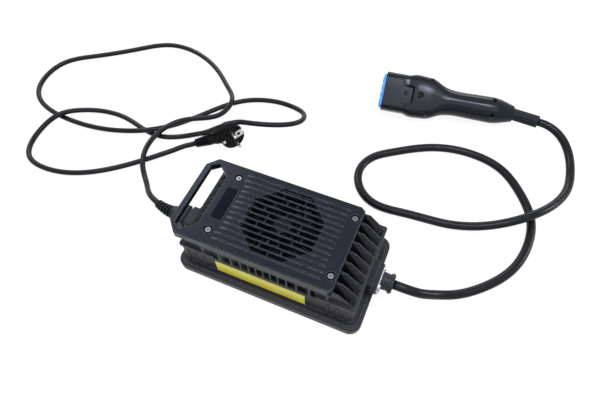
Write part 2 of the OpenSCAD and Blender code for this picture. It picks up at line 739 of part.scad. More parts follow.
module chokes() {
    wire_r = room_h / 4;
    color(copper) for (y = [0.17, -0.21] * board_w)
        translate([-board_l / 3, y, board_top + wire_r])
            rotate_extrude() translate([wire_r * 1.35, 0]) circle(wire_r);
}
module capacitors() {
    can_h = room_h - 3;
    can_d = can_h * 0.8;
    color(blue) for (x = [0.18, 0.33] * board_l, y = [-0.23, 0.06] * board_w)
        translate([x, y, 0]) {
            post(board_top, board_top + can_h, can_d);
            post(board_top + can_h, board_top + can_h + 0.6, can_d - 3);
        }
}
module power_transistors() {
    body_w = board_l / 12;
    body_h = room_h * 0.6;
    color(soft_black) for (x = [-0.19, -0.085, 0.085, 0.19] * board_l)
        translate([x, -inner_w / 2, 0]) {
            span(body_w / 2 * [-1, 1], [0, 5], band(board_top + 7 + body_h / 2, body_h));
            for (j = [-1:1])
                span(band(j * body_w / 3, 1.2), [4.5, 5], [board_top, board_top + 8]);
        }
}
module rectifier() {
    body_l = board_l / 6;
    body_h = room_h * 0.6;
    color(soft_black) translate([-board_l / 5, inner_w / 2, 0]) {
        span(body_l / 2 * [-1, 1], [-6, 0], band(board_top + 5 + body_h / 2, body_h));
        for (j = [-3:2:3])
            span(band(j * body_l / 9, 1.2), [-6, -5], [board_top, board_top + 6]);
    }
}
module relay() {
    body_h = room_h / 2;
    color(blue)
        span([-0.19, -0.085] * board_l, [-0.42, -0.27] * board_w, [board_top, board_top + body_h]);
}
module fuse() {
    color(steel) translate([-88, 18, board_top + 6]) rotate([90, 0, 0]) {
        cylinder(h = 20, d = 5, center = true);
        for (s = [-1, 1])
            translate([0, 0, s * 8]) span([-3.4, 3.4], [-6, 1], [-1.5, 1.5]);
    }
}
module control_card() {
    card_y = board_w * 0.27;
    card_h = room_h * 0.67;
    chip_w = board_l / 19;
    color(board_green) {
        span([0.085, 0.3] * board_l, [card_y, card_y + board_t], [board_top, board_top + card_h]);
        for (x = [0.11, 0.19] * board_l)
            span([x, x + chip_w], [card_y - 1, card_y + 0.5], band(board_top + card_h / 2, 8));
    }
}
module inner_leads() {
    lead_d = 3.2;
    pad = board_top + 2;
    color([0.45, 0.10, 0.10]) {
        for (i = [-1:1])
            lead([[inlet_x + 10, inlet_y + 6 * i, entry_z], [inlet_x + 16, inlet_y + 6 * i, entry_z],
                [inlet_x + 20, inlet_y + 6 * i, entry_z - 6], [inlet_x + 24, inlet_y + 6 * i, pad + 4],
                [inlet_x + 29, inlet_y + 6 * i, pad], [inlet_x + 31, inlet_y + 6 * i, pad - 0.4]],
                lead_d, 8);
        for (s = [-1, 1])
            lead([[wall_l / 2 - wall_t - 2, 4 * s, entry_z], [wall_l / 2 - 12, 4 * s, entry_z],
                [wall_l / 2 - 18, 5 * s, entry_z - 6], [wall_l / 2 - 22, 6 * s, pad + 5],
                [wall_l / 2 - 27, 7 * s, pad], [wall_l / 2 - 30, 7 * s, pad - 0.4]], lead_d, 8);
        lead([[46.8, 28.9, fan_z + 2], [50, 30.6, fan_z], [fan_lead_at[0], fan_lead_at[1], fan_z - 6],
            [fan_lead_at[0], fan_lead_at[1] + 0.2, deck_z - 8], [53, 36, board_top + 8],
            [53, 38, board_top + 1]], 2.4, 8);
    }
}

// Mains side: inlet in the end wall, coupler on the lead, plug at its far end
module inlet_socket() {
    color(soft_black) translate([0, inlet_y, entry_z]) difference() {
        union() {
            block_x(inlet_w, inlet_h, 3, coupler_x, inlet_x);
            block_x(inlet_w + 3, inlet_h + 3, 3.5, inlet_x - 6.5, inlet_x);
            block_x(inlet_w - 5.4, inlet_h - 7.4, 2, inlet_x - 1, inlet_x + wall_t + 4);
            block_x(inlet_w - 1, inlet_h - 5, 2, inlet_x + wall_t, inlet_x + wall_t + 1.6);
        }
        block_x(inlet_w - 3.4, inlet_h - 4.4, 2, coupler_x - 1, coupler_x + 10);
        blade_places() span([coupler_x, inlet_x + 12], [-1, 1], [-3, 3]);
    }
}
module blade_places() {
    for (i = [-1:1])
        translate([0, 7 * i, i == 0 ? -1.5 : 1.5]) children();
}
module inlet_blades() {
    color(brass) translate([0, inlet_y, entry_z])
        blade_places() span([coupler_x + 1, inlet_x + 10], [-1, 1], [-3, 3]);
}
module mains_coupler() {
    grip_x0 = coupler_x - 14.5;
    grip_x1 = coupler_x - 5;
    color(soft_black) translate([0, inlet_y, entry_z]) difference() {
        union() {
            block_x(inlet_w - 4, inlet_h - 5, 2, coupler_x - 1, coupler_x + 9.7);
            block_x(inlet_w - 5, inlet_h - 4, 3, grip_x1 - 1, coupler_x);
            block_x(inlet_w - 1, inlet_h, 4, grip_x0, grip_x1);
            block_x(inlet_w - 7, inlet_h - 3, 6, grip_x0 - 4.5, grip_x0 + 0.5);
        }
        blade_places() span([coupler_x - 1, coupler_x + 11], [-1.3, 1.3], [-3.3, 3.3]);
        for (i = [-3:3], sy = [-1, 1])
            span([grip_x0 + 1.5, grip_x1 - 1.5], band(sy * (inlet_w - 1) / 2, 1), band(i * 2.6, 1));
    }
}
module coupler_collar() {
    color(black) translate([0, inlet_y, entry_z]) difference() {
        union() {
            along_x(coupler_x - 27, coupler_x - 19, 10);
            along_x(coupler_x - 25, coupler_x - 21, 10.4);
        }
        along_x(coupler_x - 28, coupler_x - 20.5, 5);
    }
}
// One ring of the bent relief, a share of the way along its arc
function relief_ring(share, r, n) = let (
    a = relief_bend * share,
    c = relief_start + relief_bend_r * [-sin(a), 1 - cos(a), 0])
    ring(c, [-cos(a), sin(a), 0], r, n);
module coupler_relief() {
    rib_count = 6;
    sides = 20;
    core_r = 5;
    stations = concat([[0, core_r]],
        [for (i = [0:rib_count - 1]) let (s = (i + 0.1) / rib_count, r = 9 - 0.55 * i)
            each [[s, core_r], [s + 0.02, r], [s + 0.09, r], [s + 0.11, core_r]]],
        [[1, core_r]]);
    color(black) {
        polyhedron(
            points = [for (s = stations) each relief_ring(s[0], s[1], sides)],
            faces = skin_faces(len(stations), sides),
            convexity = 8);
        translate([relief_start[0] + 6.4, inlet_y, entry_z]) along_x(-6.4, 0, core_r - 0.2);
    }
}
module mains_cord() {
    color(black) lead(mains_route, mains_d, 10);
}

// Plug, in its own frame: +X out of the face, the lead leaving aside
module in_plug() {
    translate(plug_at) rotate(plug_turn) children();
}
module along_plug_lead() {
    translate(plug_neck_at) rotate(-90 - plug_lead_turn) rotate([0, 90, 0]) children();
}
module plug_body() {
    notch_w = 7;
    back_l = 7;
    color(black) in_plug() difference() {
        union() {
            along_x(-plug_depth + back_l, 0, plug_d / 2);
            translate([-plug_depth + back_l, 0, 0]) rotate([0, -90, 0])
                cylinder(h = back_l, r1 = plug_d / 2, r2 = plug_d / 2 - 4);
            along_plug_lead() {
                cylinder(h = plug_neck_l - 7, d1 = 26, d2 = 19);
                translate([0, 0, plug_neck_l - 7]) cylinder(h = 7, d = 17);
            }
        }
        for (s = [-1, 1])
            span([-12, 1], band(s * (plug_d / 2 - 1), 3.2), band(0, notch_w));
        translate([0, 10, 0]) along_x(-14, 1, 2.6);
        for (s = [-1, 1])
            translate([0, 0, s * pin_pitch / 2]) along_x(-9, 1, pin_d / 2);
    }
}
module plug_pins() {
    color(steel) in_plug()
        for (s = [-1, 1])
            translate([0, 0, s * pin_pitch / 2]) {
                along_x(-9, pin_l - pin_d / 2, pin_d / 2);
                translate([pin_l - pin_d / 2, 0, 0]) sphere(d = pin_d);
            }
}
module plug_earth() {
    clip_w = 4.6;
    edge = plug_d / 2 - 2.15;
    color(steel) in_plug() {
        for (s = [-1, 1])
            span([-11, 0.8], band(s * edge, 0.9), band(0, clip_w));
        difference() {
            span([0, 0.8], [5.5, edge + 0.5], [-5.2, 5.2]);
            translate([0, 10, 0]) along_x(-1, 2, 2.6);
        }
        span([0, 0.8], [-edge - 0.45, -edge + 3.5], clip_w / 2 * [-1, 1]);
    }
}
module plug_relief() {
    rib_count = 6;
    color(black) in_plug() along_plug_lead() translate([0, 0, plug_neck_l]) {
        cylinder(h = plug_relief_l, d1 = 12, d2 = 10);
        for (i = [0:rib_count - 1])
            translate([0, 0, i * 4.2]) cylinder(h = 2.4, d = 15.5 - 0.6 * i);
    }
}

// Output side: block, steel plate and gland on the end wall
module plate_screw_places() {
    for (sy = [-1, 1], sz = [-1, 1])
        translate([0, sy * (outlet_w / 2 - 4), entry_z + sz * (outlet_h / 2 - 4)]) children();
}
module outlet_block() {
    step = 1.4;
    color(soft_black) difference() {
        translate([0, 0, entry_z]) {
            block_x(outlet_w + 2 * step, outlet_h + 2 * step, 2.5, outlet_x, outlet_x + 8);
            block_x(outlet_w, outlet_h, 1.5, outlet_x + 7, plate_x);
        }
        translate([0, 0, entry_z]) along_x(outlet_x - 1, plate_x + 1, lead_hole_d / 2);
        plate_screw_places() along_x(outlet_x - 1, plate_x + 1, small_screw_d / 2);
    }
}
module outlet_plate() {
    color(steel) difference() {
        translate([0, 0, entry_z]) block_x(outlet_w, outlet_h, 1.5, plate_x, plate_x + outlet_plate_t);
        translate([0, 0, entry_z]) along_x(plate_x - 1, plate_x + 3, lead_hole_d / 2);
        plate_screw_places() along_x(plate_x - 1, plate_x + 3, small_screw_d / 2 + 0.2);
    }
}
module plate_screws() {
    color(steel) plate_screw_places() {
        along_x(outlet_x - 4, plate_x + outlet_plate_t + 1, small_screw_d / 2);
        along_x(plate_x + outlet_plate_t, plate_x + outlet_plate_t + 1.9, 2.7);
    }
}
module cable_gland() {
    gland_x = plate_x + outlet_plate_t;
    color(black) translate([0, 0, entry_z]) difference() {
        union() {
            along_x(outlet_x - wall_t - 2, gland_x + 1, lead_hole_d / 2);
            translate([gland_x, 0, 0]) rotate([0, 90, 0])
                cylinder(h = gland_end_x - 3 - gland_x, d1 = gland_d + 2, d2 = gland_d);
            along_x(gland_end_x - 6, gland_end_x, gland_d / 2 + 1.3);
            for (sy = [-1, 1])
                span([gland_end_x - 4.5, gland_end_x - 1.5], band(sy * (gland_d / 2 + 1.4), 2.6),
                    [-2.5, 2.5]);
        }
        along_x(outlet_x - wall_t - 3, gland_end_x - 12, output_d / 2 - 1);
        for (s = [-1, 1]) translate([0, 4 * s, 0]) along_x(0, outlet_x - wall_t, 0.5);
    }
}
module output_cord() {
    color(black) lead(output_route, output_d, 10);
}

// Hand-held connector, in its own frame: +X from its face along the handle
module in_connector() {
    translate(connector_at) rotate(connector_turn) children();
}
module connector_boot() {
    sides = 36;
    groove = 0.6;
    dir = turn(connector_turn, [1, 0, 0]);
    route = [boot_at - 7 * dir, boot_at - 2 * dir, boot_at + 3 * boot_dir,
        boot_end - 0.1 * boot_dir, boot_end];
    color(black) {
        polyhedron(
            points = [for (i = [0:len(route) - 1])
                let (t = i < 2 ? dir : boot_dir, rings = [ring(route[i], t, boot_d / 2, sides),
                    ring(route[i], t, boot_d / 2 - groove, sides)])
                for (k = [0:sides - 1]) rings[k % 4 < 3 || i < 2 ? 0 : 1][k]],
            faces = skin_faces(len(route), sides),
            convexity = 4);
        in_connector() along_x(handle_end_u - 7, handle_end_u - 4, boot_d / 2 + 2.2);
    }
}
module handle_half(side) {
    wall = 2.6;
    n = 28;
    reach = 30;
    difference() {
        intersection() {
            loft(handle_stations, 0, n);
            span([seam_u - 1, handle_end_u + 1], connector_w * [-1, 1],
                side > 0 ? [0, reach] : [-reach, 0]);
        }
        difference() {
            loft([for (s = handle_stations) [s[0] == seam_u ? s[0] + wall : min(s[0], handle_end_u - 9),
                s[1], s[2], s[3]]], wall, n);
            for (h = handle_screws)
                translate([h[0], h[1], -reach]) cylinder(h = 2 * reach, d = h[2] + 3.5);
        }
        along_x(handle_end_u - 10, handle_end_u + 1, boot_d / 2 + 0.1);
        along_x(handle_end_u - 3, handle_end_u + 1, boot_d / 2 + 0.9);
        along_x(handle_end_u - 7.2, handle_end_u - 3.8, boot_d / 2 + 2.3);
        for (h = handle_screws)
            translate([h[0], h[1], 0])
                if (side > 0) {
                    translate([0, 0, screw_seat]) cylinder(h = reach, d = h[2]);
                    translate([0, 0, -1]) cylinder(h = reach, d = small_screw_d + 0.4);
                } else {
                    translate([0, 0, -9]) cylinder(h = reach, d = small_screw_d);
                }
    }
}
module handle_upper() {
    color(soft_black) in_connector() difference() {
        handle_half(1);
        span([seam_u - 1, 50], [-14, 8], [connector_t / 2 - recess_depth, 30]);
    }
}
module handle_lower() {
    color(soft_black) in_connector() handle_half(-1);
}
module connector_housing() {
    recess_z = connector_t / 2 - recess_depth;
    color(soft_black) in_connector() difference() {
        block_x(connector_w, connector_t, 9, face_u, seam_u);
        block_x(connector_w - 7, connector_t - 2 * nose_wall, 4, face_u - 1, face_u + block_depth + fit);
        span([face_u - 1, 33], [-20, 20], [recess_z, connector_t]);
        span([32, seam_u + 1], [-14, 12], [recess_z, connector_t]);
        translate([housing_screw_u, 0, housing_screw_z]) cylinder(h = connector_t, d = 5.6);
        translate([housing_screw_u, 0, -6]) cylinder(h = connector_t, d = small_screw_d);
    }
}
module contact_block() {
    color(blue) in_connector() difference() {
        union() {
            block_x(connector_w - 7.6, connector_t - 2 * nose_wall - 0.6, 4,
                face_u - 3.5, face_u + block_depth);
            for (v = [-18, -6, 6, 18])
                translate([face_u - 4.4, v, 0]) span([0, 2], [-3.5, 3.5], [-6, 6]);
        }
        for (v = [-17, 17]) translate([0, v, 0]) block_x(14, 9, 1.5, face_u - 6, face_u + block_depth - 4);
        for (v = [-4, 4]) translate([0, v, 0]) along_x(face_u - 6, face_u + block_depth - 4, 2);
    }
}
module connector_contacts() {
    color(brass) in_connector() {
        for (v = [-17, 17]) translate([0, v, 0]) block_x(11, 4, 0.8, face_u + 2, face_u + 26);
        for (v = [-4, 4]) translate([0, v, 0]) along_x(face_u + 1, face_u + 26, 1.6);
    }
}
module connector_screws() {
    color(steel) in_connector() {
        translate([housing_screw_u, 0, housing_screw_z]) cylinder(h = 2.4, d = 5);
        translate([housing_screw_u, 0, housing_screw_z - 12]) cylinder(h = 13, d = small_screw_d);
        for (h = handle_screws)
            translate([h[0], h[1], screw_seat]) {
                cylinder(h = 2.4, d = h[2] - 0.6);
                translate([0, 0, -18]) cylinder(h = 19, d = small_screw_d);
            }
    }
}

rubber_feet();
base_pan();
base_screws();
gasket();
heat_sink();
fan_frame();
fan_impeller();
fan_screws();
top_cover();
inlay_panel();
cover_screws();
side_label();
circuit_board();
board_screws();
transformer_core();
transformer_winding();
chokes();
capacitors();
power_transistors();
rectifier();
relay();
fuse();
control_card();
inner_leads();
inlet_socket();
inlet_blades();
mains_coupler();
coupler_collar();
coupler_relief();
mains_cord();
plug_relief();
plug_body();
plug_pins();
plug_earth();
outlet_block();
outlet_plate();
plate_screws();
cable_gland();
output_cord();
connector_boot();
handle_upper();
handle_lower();
connector_housing();
contact_block();
connector_contacts();
connector_screws();
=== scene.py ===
"""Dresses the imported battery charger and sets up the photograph's view of it.

Lengths are in metres and places are in the CAD's frame, except where a comment says mm.
"""

import json
import math

import bmesh
import bpy
import numpy as np
from mathutils import Matrix, Vector


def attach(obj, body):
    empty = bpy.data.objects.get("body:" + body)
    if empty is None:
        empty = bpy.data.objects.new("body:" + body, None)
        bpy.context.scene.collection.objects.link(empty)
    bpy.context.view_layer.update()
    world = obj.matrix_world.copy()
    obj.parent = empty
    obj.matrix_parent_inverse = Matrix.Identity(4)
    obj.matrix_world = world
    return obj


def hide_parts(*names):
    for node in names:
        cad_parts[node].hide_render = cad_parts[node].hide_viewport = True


MM = 0.001
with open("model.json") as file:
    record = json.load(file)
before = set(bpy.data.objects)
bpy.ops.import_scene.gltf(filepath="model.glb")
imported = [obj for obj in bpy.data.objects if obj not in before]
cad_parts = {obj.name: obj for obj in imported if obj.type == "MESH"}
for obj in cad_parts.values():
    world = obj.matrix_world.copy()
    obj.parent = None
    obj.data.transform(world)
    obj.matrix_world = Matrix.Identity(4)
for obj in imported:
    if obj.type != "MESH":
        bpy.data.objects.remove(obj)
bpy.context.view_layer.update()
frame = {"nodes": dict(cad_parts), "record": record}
nodes = frame["nodes"]
scene = bpy.context.scene

# Camera, solved from the corners of the case in the photograph
CAMERA_AT = Vector((151.83, -268.36, 604.23)) * MM
CAMERA_RIGHT = Vector((0.91832, 0.39516, -0.02330))
CAMERA_BACK = Vector((0.23473, -0.49622, 0.83586))
SENSOR_MM = 36.0
LENS_MM = 29.86
CLIP_START = 0.01
CLIP_END = 20


def make_camera():
    """The camera of the photograph, without shift or depth of field."""
    back = CAMERA_BACK.normalized()
    right = (CAMERA_RIGHT - CAMERA_RIGHT.dot(back) * back).normalized()
    up = back.cross(right)
    data = bpy.data.cameras.new("camera")
    data.sensor_fit = "HORIZONTAL"
    data.sensor_width = SENSOR_MM
    data.lens = LENS_MM
    data.clip_start = CLIP_START
    data.clip_end = CLIP_END
    camera = bpy.data.objects.new("camera", data)
    scene.collection.objects.link(camera)
    directions = Matrix((right, up, back)).transposed().to_4x4()
    camera.matrix_world = Matrix.Translation(CAMERA_AT) @ directions
    scene.camera = camera


make_camera()


# Shapes
def moved(x, y, z):
    """A shift given in mm."""
    return Matrix.Translation(Vector((x, y, z)) * MM)


def turned(degrees, axis):
    """A turn about one of the three axes."""
    return Matrix.Rotation(math.radians(degrees), 4, axis)


def placed(own_frame, points):
    """Points in mm of a piece's own frame, brought into the CAD's frame."""
    return [own_frame @ (Vector(p) * MM) for p in points]


def circle(radius, sides=24):
    """Points around the origin."""
    angles = (2 * math.pi * k / sides for k in range(sides))
    return [(radius * math.cos(a), radius * math.sin(a)) for a in angles]


def rounded(half_x, half_y, radius, steps=6):
    """A rectangle with rounded corners around the origin."""
    points = []
    for corner, (sx, sy) in enumerate(((1, 1), (-1, 1), (-1, -1), (1, -1))):
        for k in range(steps + 1):
            a = math.pi / 2 * (corner + k / steps)
            x = sx * (half_x - radius) + radius * math.cos(a)
            y = sy * (half_y - radius) + radius * math.sin(a)
            points.append((x, y))
    return points


def loft(rings):
    """Points and faces of a closed solid through rings of the same count."""
    count = len(rings[0])
    points = [p for ring in rings for p in ring]
    faces = [tuple(range(count - 1, -1, -1)), tuple(range(len(points) - count, len(points)))]
    for i in range(len(rings) - 1):
        for k in range(count):
            j = (k + 1) % count
            faces.append((i * count + k, i * count + j, (i + 1) * count + j, (i + 1) * count + k))
    return points, faces


def join(solids):
    """Points and faces of several solids as one."""
    points, faces = [], []
    for own_points, own_faces in solids:
        first = len(points)
        points += own_points
        faces += [tuple(first + i for i in face) for face in own_faces]
    return points, faces


def smooth(points, step):
    """Points about step apart on the natural cubic spline through the given ones."""
    p = np.array(points, float)
    gaps = np.linalg.norm(np.diff(p, axis=0), axis=1)
    at = np.concatenate([[0.0], np.cumsum(gaps)])
    count = len(p)
    system = np.eye(count)
    right = np.zeros(p.shape)
    for i in range(1, count - 1):
        system[i, i - 1 : i + 2] = gaps[i - 1] / 6, (gaps[i - 1] + gaps[i]) / 3, gaps[i] / 6
        right[i] = (p[i + 1] - p[i]) / gaps[i] - (p[i] - p[i - 1]) / gaps[i - 1]
    bend = np.linalg.solve(system, right)
    t = np.linspace(0, at[-1], int(at[-1] / step) + 1)
    i = np.clip(np.searchsorted(at, t, side="right") - 1, 0, count - 2)
    g = gaps[i][:, None]
    b = ((t - at[i]) / gaps[i])[:, None]
    a = 1 - b
    return a * p[i] + b * p[i + 1] + g**2 / 6 * ((a**3 - a) * bend[i] + (b**3 - b) * bend[i + 1])


def tube(line, radius, sides):
    """A round tube along a line, each ring turned as little as can be from the one before it."""
    along = np.gradient(line, axis=0)
    along /= np.linalg.norm(along, axis=1)[:, None]
    side = np.cross((0, 0, 1), along[0])
    angle = np.arange(sides) * 2 * math.pi / sides
    rings = []
    for at, way in zip(line, along):
        side = side - side.dot(way) * way
        side /= np.linalg.norm(side)
        up = np.cross(way, side)
        rings.append(at + radius * (np.cos(angle)[:, None] * side + np.sin(angle)[:, None] * up))
    return loft(rings)


def new_mesh(name, points, faces):
    """A smooth mesh object that rides on the case."""
    mesh = bpy.data.meshes.new(name)
    mesh.from_pydata([tuple(p) for p in points], [], faces)
    mesh.validate()
    mesh.update()
    mesh.shade_smooth()
    piece = bpy.data.objects.new(name, mesh)
    scene.collection.objects.link(piece)
    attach(piece, "root")
    return piece


def settle(mesh, sharp_angle=35):
    """Turns all faces outwards and keeps only the real edges sharp."""
    bm = bmesh.new()
    bm.from_mesh(mesh)
    bmesh.ops.recalc_face_normals(bm, faces=bm.faces)
    bm.to_mesh(mesh)
    bm.free()
    mesh.shade_smooth()
    mesh.set_sharp_from_angle(angle=math.radians(sharp_angle))


# Cords. Their routes in mm have the same points as the solids.
MAINS_D = 8 * MM
MAINS_STEP = 3.0
MAINS_SIDES = 20
MAINS_ROUTE = [
    (-187.3716, -8.8741, 34), (-194.889, -6.138, 34), (-234.5, 24.5, 12.5), (-254.5, 45.5, 12.5),
    (-271, 83, 14), (-246, 153.5, 12.5), (-197.5, 186.5, 13), (-194.75, 218.5, 12.5), (-220.5, 251, 5.75),
    (-255.5, 281, 4), (-376, 306.5, 4), (-417, 279, 4), (-482, 232, 4), (-523, 196.5, 4), (-521, 125, 4),
    (-436.25, 89.25, 4), (-319.5, 102, 9), (-288, 113.75, 12.5), (-281, 119, 11.75), (-267.5, 135.5, 6.5),
    (-237, 171.5, 4), (-158.5, 245, 4), (-72, 234, 12.5), (-69, 211.5, 23), (-138, 162, 42.5),
    (-143, 158, 45.5), (-162, 142, 46.5), (-198.5, 135.5, 21), (-211, 136, 12.5), (-264, 116, 4),
    (-283.25, 114.5, 4), (-344, 127, 4), (-425.5, 106.5, 9), (-439.5, 91, 12.5), (-455.5, 58, 7),
    (-440.5, 4, 4), (-398.5, -7, 4.5), (-235.5, 98, 4), (-216.397, 117.629, 4.021), (-209.6, 121.3, 6.1),
]
OUTPUT_D = 12 * MM
OUTPUT_STEP = 3.5
OUTPUT_SIDES = 24
OUTPUT_ROUTE = [
    (147, 0, 34), (155, 0, 34), (180, 4.5, 27), (197.5, 14.5, 16.5), (223, 29.5, 7.5), (252, 52.5, 6),
    (284, 95.5, 6), (295.5, 143, 6), (292.5, 177, 6), (268.5, 220.5, 6), (238.5, 249.5, 6),
    (190, 262.5, 6), (139, 254.5, 6), (78, 219.5, 6), (56, 201, 6), (45, 175, 6), (57, 138.5, 6),
    (80.5, 122.5, 6), (129.5, 122.5, 6), (192.5, 128.5, 6.5), (232, 139.5, 11), (270, 160, 17.5),
    (298, 185, 18.5), (320, 217.5, 12.5), (331.5, 251, 7.5), (332, 278.5, 7), (327.5, 301.5, 9.5),
    (303, 340.5, 17), (278.0388, 350.1316, 20), (270.05, 350.55, 20),
]


def make_cord(name, route, diameter, step, sides):
    """A round lead along its route, which never sinks below the floor."""
    line = smooth(route, step) * MM
    line[:, 2] = np.maximum(line[:, 2], diameter / 2)
    cord = new_mesh(name, *tube(line, diameter / 2, sides))
    length = float(np.linalg.norm(np.diff(line, axis=0), axis=1).sum())
    return cord, length, line.tolist()


# The plug's strain relief in mm, in its own frame at the plug's neck, where +Z points along the lead
PLUG_AT = (-151.5, 143, 24)
NECK_AT = (-10, 0, 0)
PLUG_LEAD = (
    moved(*PLUG_AT) @ turned(-34, "Z") @ turned(-15, "Y") @ turned(9, "X")
    @ moved(*NECK_AT) @ turned(-120, "Z") @ turned(90, "Y")
)
SLEEVE_SIDES = 32
SLEEVE_Z = (32.6, 59.0)
MOUTH_R = 5.6
CORE_R = 4.7
END_R = 4.5
END_CHAMFER = 0.5
RIB_COUNT = 8
RIB_START = 0.8
RIB_PITCH = 3.15
RIB_THICK = 1.5
RIB_R = (9.0, 6.9)
# A rib's rim, as pairs of the distance along the lead and the depth under its full radius
RIB_RIM = [(0.25, 0.2), (0.4, 0), (1.1, 0), (1.25, 0.2)]


def make_plug_relief():
    """A soft sleeve with a row of sharp ribs, thinner towards its end, where it lies on the floor."""
    start, end = SLEEVE_Z
    rows = [(start, MOUTH_R)]
    for i in range(RIB_COUNT):
        z = start + RIB_START + i * RIB_PITCH
        r = RIB_R[0] + (RIB_R[1] - RIB_R[0]) * i / (RIB_COUNT - 1)
        rows.append((z, CORE_R))
        rows += [(z + along, r - depth) for along, depth in RIB_RIM]
        rows.append((z + RIB_THICK, CORE_R))
    rows += [(end - END_CHAMFER, CORE_R), (end, END_R)]
    points, faces = loft([[(x, y, z) for x, y in circle(r, SLEEVE_SIDES)] for z, r in rows])
    relief = new_mesh("plug_sleeve", placed(PLUG_LEAD, points), faces)
    settle(relief.data)
    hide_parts("plug_relief")
    return relief


plug_sleeve = make_plug_relief()
mains, mains_length, mains_line = make_cord("mains_lead", MAINS_ROUTE, MAINS_D, MAINS_STEP, MAINS_SIDES)
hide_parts("mains_cord")

# The connector in mm, in its own frame: u runs from its face to the lead, v across and w up from its middle
CONNECTOR = moved(27.2, 315.3, 30.1) @ turned(10.4, "Z") @ turned(2.8, "Y") @ turned(35, "X")
# The handle, as distance along, half width, half thickness and how round the section is
GRIP = [
    (42, 30.5, 14.5, 0.50), (51, 33.0, 16.0, 0.55), (66, 32.6, 16.8, 0.60), (80, 31.0, 17.4, 0.68),
    (88, 27.6, 18.3, 0.78), (97, 23.2, 19.3, 0.90), (110, 20.0, 19.9, 1.00), (142, 19.4, 19.5, 1.00),
    (165, 19.9, 19.9, 1.00), (178, 19.8, 19.8, 1.00), (189, 17.8, 17.8, 1.00), (201, 14.2, 14.2, 1.00),
    (207, 12.4, 12.4, 1.00),
]
GRIP_STEP = 2.0
SHELL_WALL = 2.6
SEAM_GAP = 0.02
GROOVE = 0.45
PROFILE_POINTS = 37
# Where the round of a section starts over the seam, in degrees
SEAM_ANGLE = 3
BOSS_WALL = 1.8
BOSS_BOTTOM = 0.1
BOSS_UNDER_SKIN = 1.2
SCREW_SEAT = 10
# Screw holes in the upper shell, as distance along the handle, side offset and diameter
GRIP_SCREWS = [(61.6, 0, 11.5), (76, 25.5, 6), (76, -25.5, 6), (174, 11.5, 6), (174, -11.5, 6)]
# A height above the whole handle, where cuts from above start
OVER_W = 30

# The housing in front of the handle
FACE_U = 5
SEAM_U = 42
HOUSING_HALF = (30, 14.5)
HOUSING_CORNER = 9
FACE_CHAMFER = 0.9
SEAM_CHAMFER = 0.5
OVER_HOUSING_W = 15.5
POCKET_HALF = (26.5, 9.5)
POCKET_CORNER = 4
POCKET_U = (FACE_U - 1, FACE_U + 30.05)
RECESS_U = (-6, 34.5)
RECESS_V = (-21.5, 21.5)
RECESS_W = 11.6
RECESS_CORNER = 6.0
RECESS_SLOPE = 0.9
CHANNEL_U = (30, SEAM_U + 3)
CHANNEL_CORNER = 1.0
CHANNEL_SLOPE = 0.3
NOTCH_END = 51.0
NOTCH_U = (SEAM_U - 3, NOTCH_END)
NOTCH_V = (-14.0, 12.2)
NOTCH_W = (4.8, 24)
NOTCH_CORNER = 1.0
TONGUE_U = (SEAM_U - 4, NOTCH_END - 1.6)
TONGUE_V = (-13.6, 10.4)
TONGUE_CORNER = 1.2
TONGUE_BOTTOM_W = 5
SLOT_U = (NOTCH_END - 11.4, NOTCH_END - 9.9)
SLOT_V = (8.6, 13.0)
SLOT_BOTTOM_W = 8.0
SLOT_CORNER = 0.4
HOUSING_SCREW_U = 38.8
HOUSING_SCREW_SEAT = 9.5
# Holes around the housing's screw, as radius and bottom
HOUSING_SCREW_HOLES = [(4.4, 10.6), (2.8, HOUSING_SCREW_SEAT)]
OVER_HOUSING_SCREW_W = 14
# Keeps the points of a sharp corner apart
LEAST_CORNER = 0.01

# Screw heads, each size as a radius and a height
HEAD_CHAMFER = 0.35
SOCKET_SHARE = 0.5
SOCKET_DEPTH_SHARE = 0.6
HOUSING_HEAD = (2.4, 2.4)
MIDDLE_HEAD = (3.4, 2.2)
SIDE_HEAD = (2.4, 2.0)


def bar(half, corner, stations):
    """A rounded bar along the connector, through pairs of a distance and how much it shrinks there."""
    half_v, half_w = half
    return loft([
        [(u, v, w) for v, w in rounded(half_v - shrink, half_w - shrink, corner - shrink)]
        for u, shrink in stations
    ])


def slab(u, v, w, corner, grow=0.0):
    """An upright block between limits in u, v and w, whose top may be wider than its bottom."""
    mid_u, mid_v = sum(u) / 2, sum(v) / 2
    rings = []
    for height, extra in zip(w, (0.0, grow)):
        half_u, half_v = (u[1] - u[0]) / 2 + extra, (v[1] - v[0]) / 2 + extra
        outline = rounded(half_u, half_v, corner + extra + LEAST_CORNER)
        rings.append([(mid_u + x, mid_v + y, height) for x, y in outline])
    return loft(rings)


def posts(places):
    """Upright round posts, each given as (u, v, radius, bottom, top)."""
    return join(
        loft([[(u + x, v + y, w) for x, y in circle(radius)] for w in (bottom, top)])
        for u, v, radius, bottom, top in places
    )


def carve(piece, operation, points, faces):
    """Adds or cuts away a solid in the connector's frame, and keeps the result as the piece's own mesh."""
    mesh = bpy.data.meshes.new("helper")
    mesh.from_pydata(placed(CONNECTOR, points), [], faces)
    helper = bpy.data.objects.new("helper", mesh)
    scene.collection.objects.link(helper)
    modifier = piece.modifiers.new("carve", "BOOLEAN")
    modifier.operation = operation
    modifier.solver = "EXACT"
    modifier.object = helper
    result = bpy.data.meshes.new_from_object(piece.evaluated_get(bpy.context.evaluated_depsgraph_get()))
    piece.modifiers.clear()
    piece.data = result
    bpy.data.objects.remove(helper)


